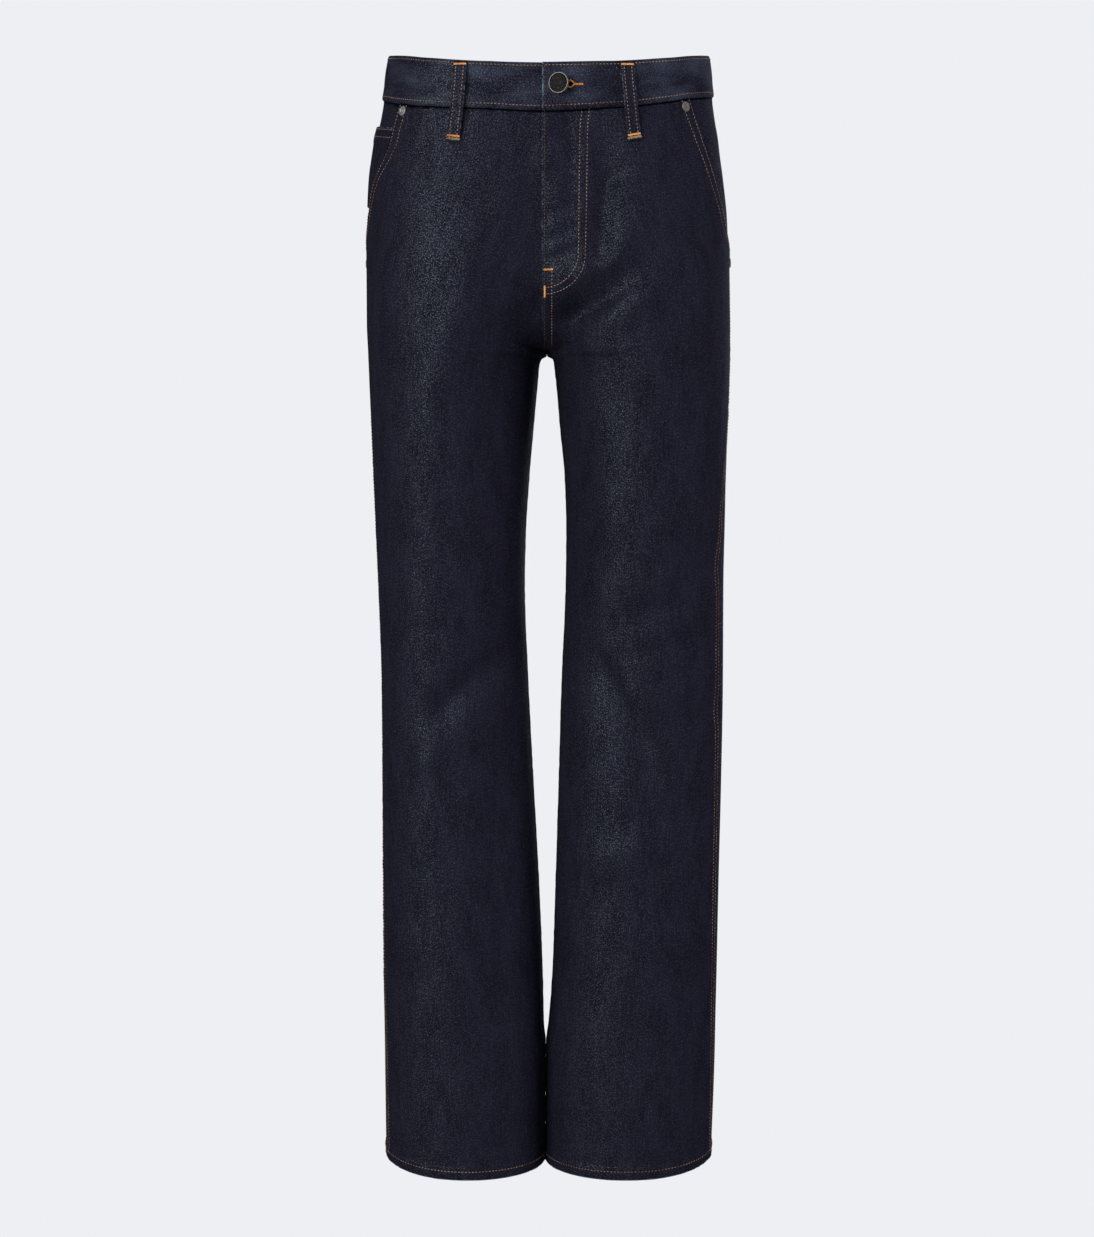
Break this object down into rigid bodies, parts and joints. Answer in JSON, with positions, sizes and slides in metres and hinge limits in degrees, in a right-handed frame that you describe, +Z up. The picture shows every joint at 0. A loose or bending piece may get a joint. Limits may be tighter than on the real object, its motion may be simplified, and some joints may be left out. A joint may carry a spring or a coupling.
{
  "type": "straight leg jeans",
  "caption": "Straight leg jeans in dark denim, hollow as when worn and open at the waist and hems, with a buttoned waistband, belt loops, slanted front pockets and patch back pockets.",
  "frame": {"origin": "middle of the waist ring, level with the middle of the waistband at the sides, where the wearer's waist holds the jeans up", "axes": "+Z up along the legs, -Y is the front, +X is the wearer's left"},
  "size_m": [0.3623, 0.2612, 1.1185],
  "materials": {
    "denim": "raw dark indigo twill",
    "nickel": "nickel plated, dull"
  },
  "bodies": {
    "root": {"front_left": "denim", "front_right": "denim", "back_left": "denim", "back_right": "denim", "yoke_left": "denim", "yoke_right": "denim", "waistband": "denim", "belt_loop_front_left": "denim", "belt_loop_front_right": "denim", "belt_loop_side_left": "denim", "belt_loop_side_right": "denim", "belt_loop_back": "denim", "pocket_facing_left": "denim", "pocket_facing_right": "denim", "coin_pocket": "denim", "back_pocket_left": "denim", "back_pocket_right": "denim", "button": "nickel", "rivet_upper_left": "nickel", "rivet_upper_right": "nickel", "rivet_lower_left": "nickel", "rivet_lower_right": "nickel"}
  },
  "joints": []
}
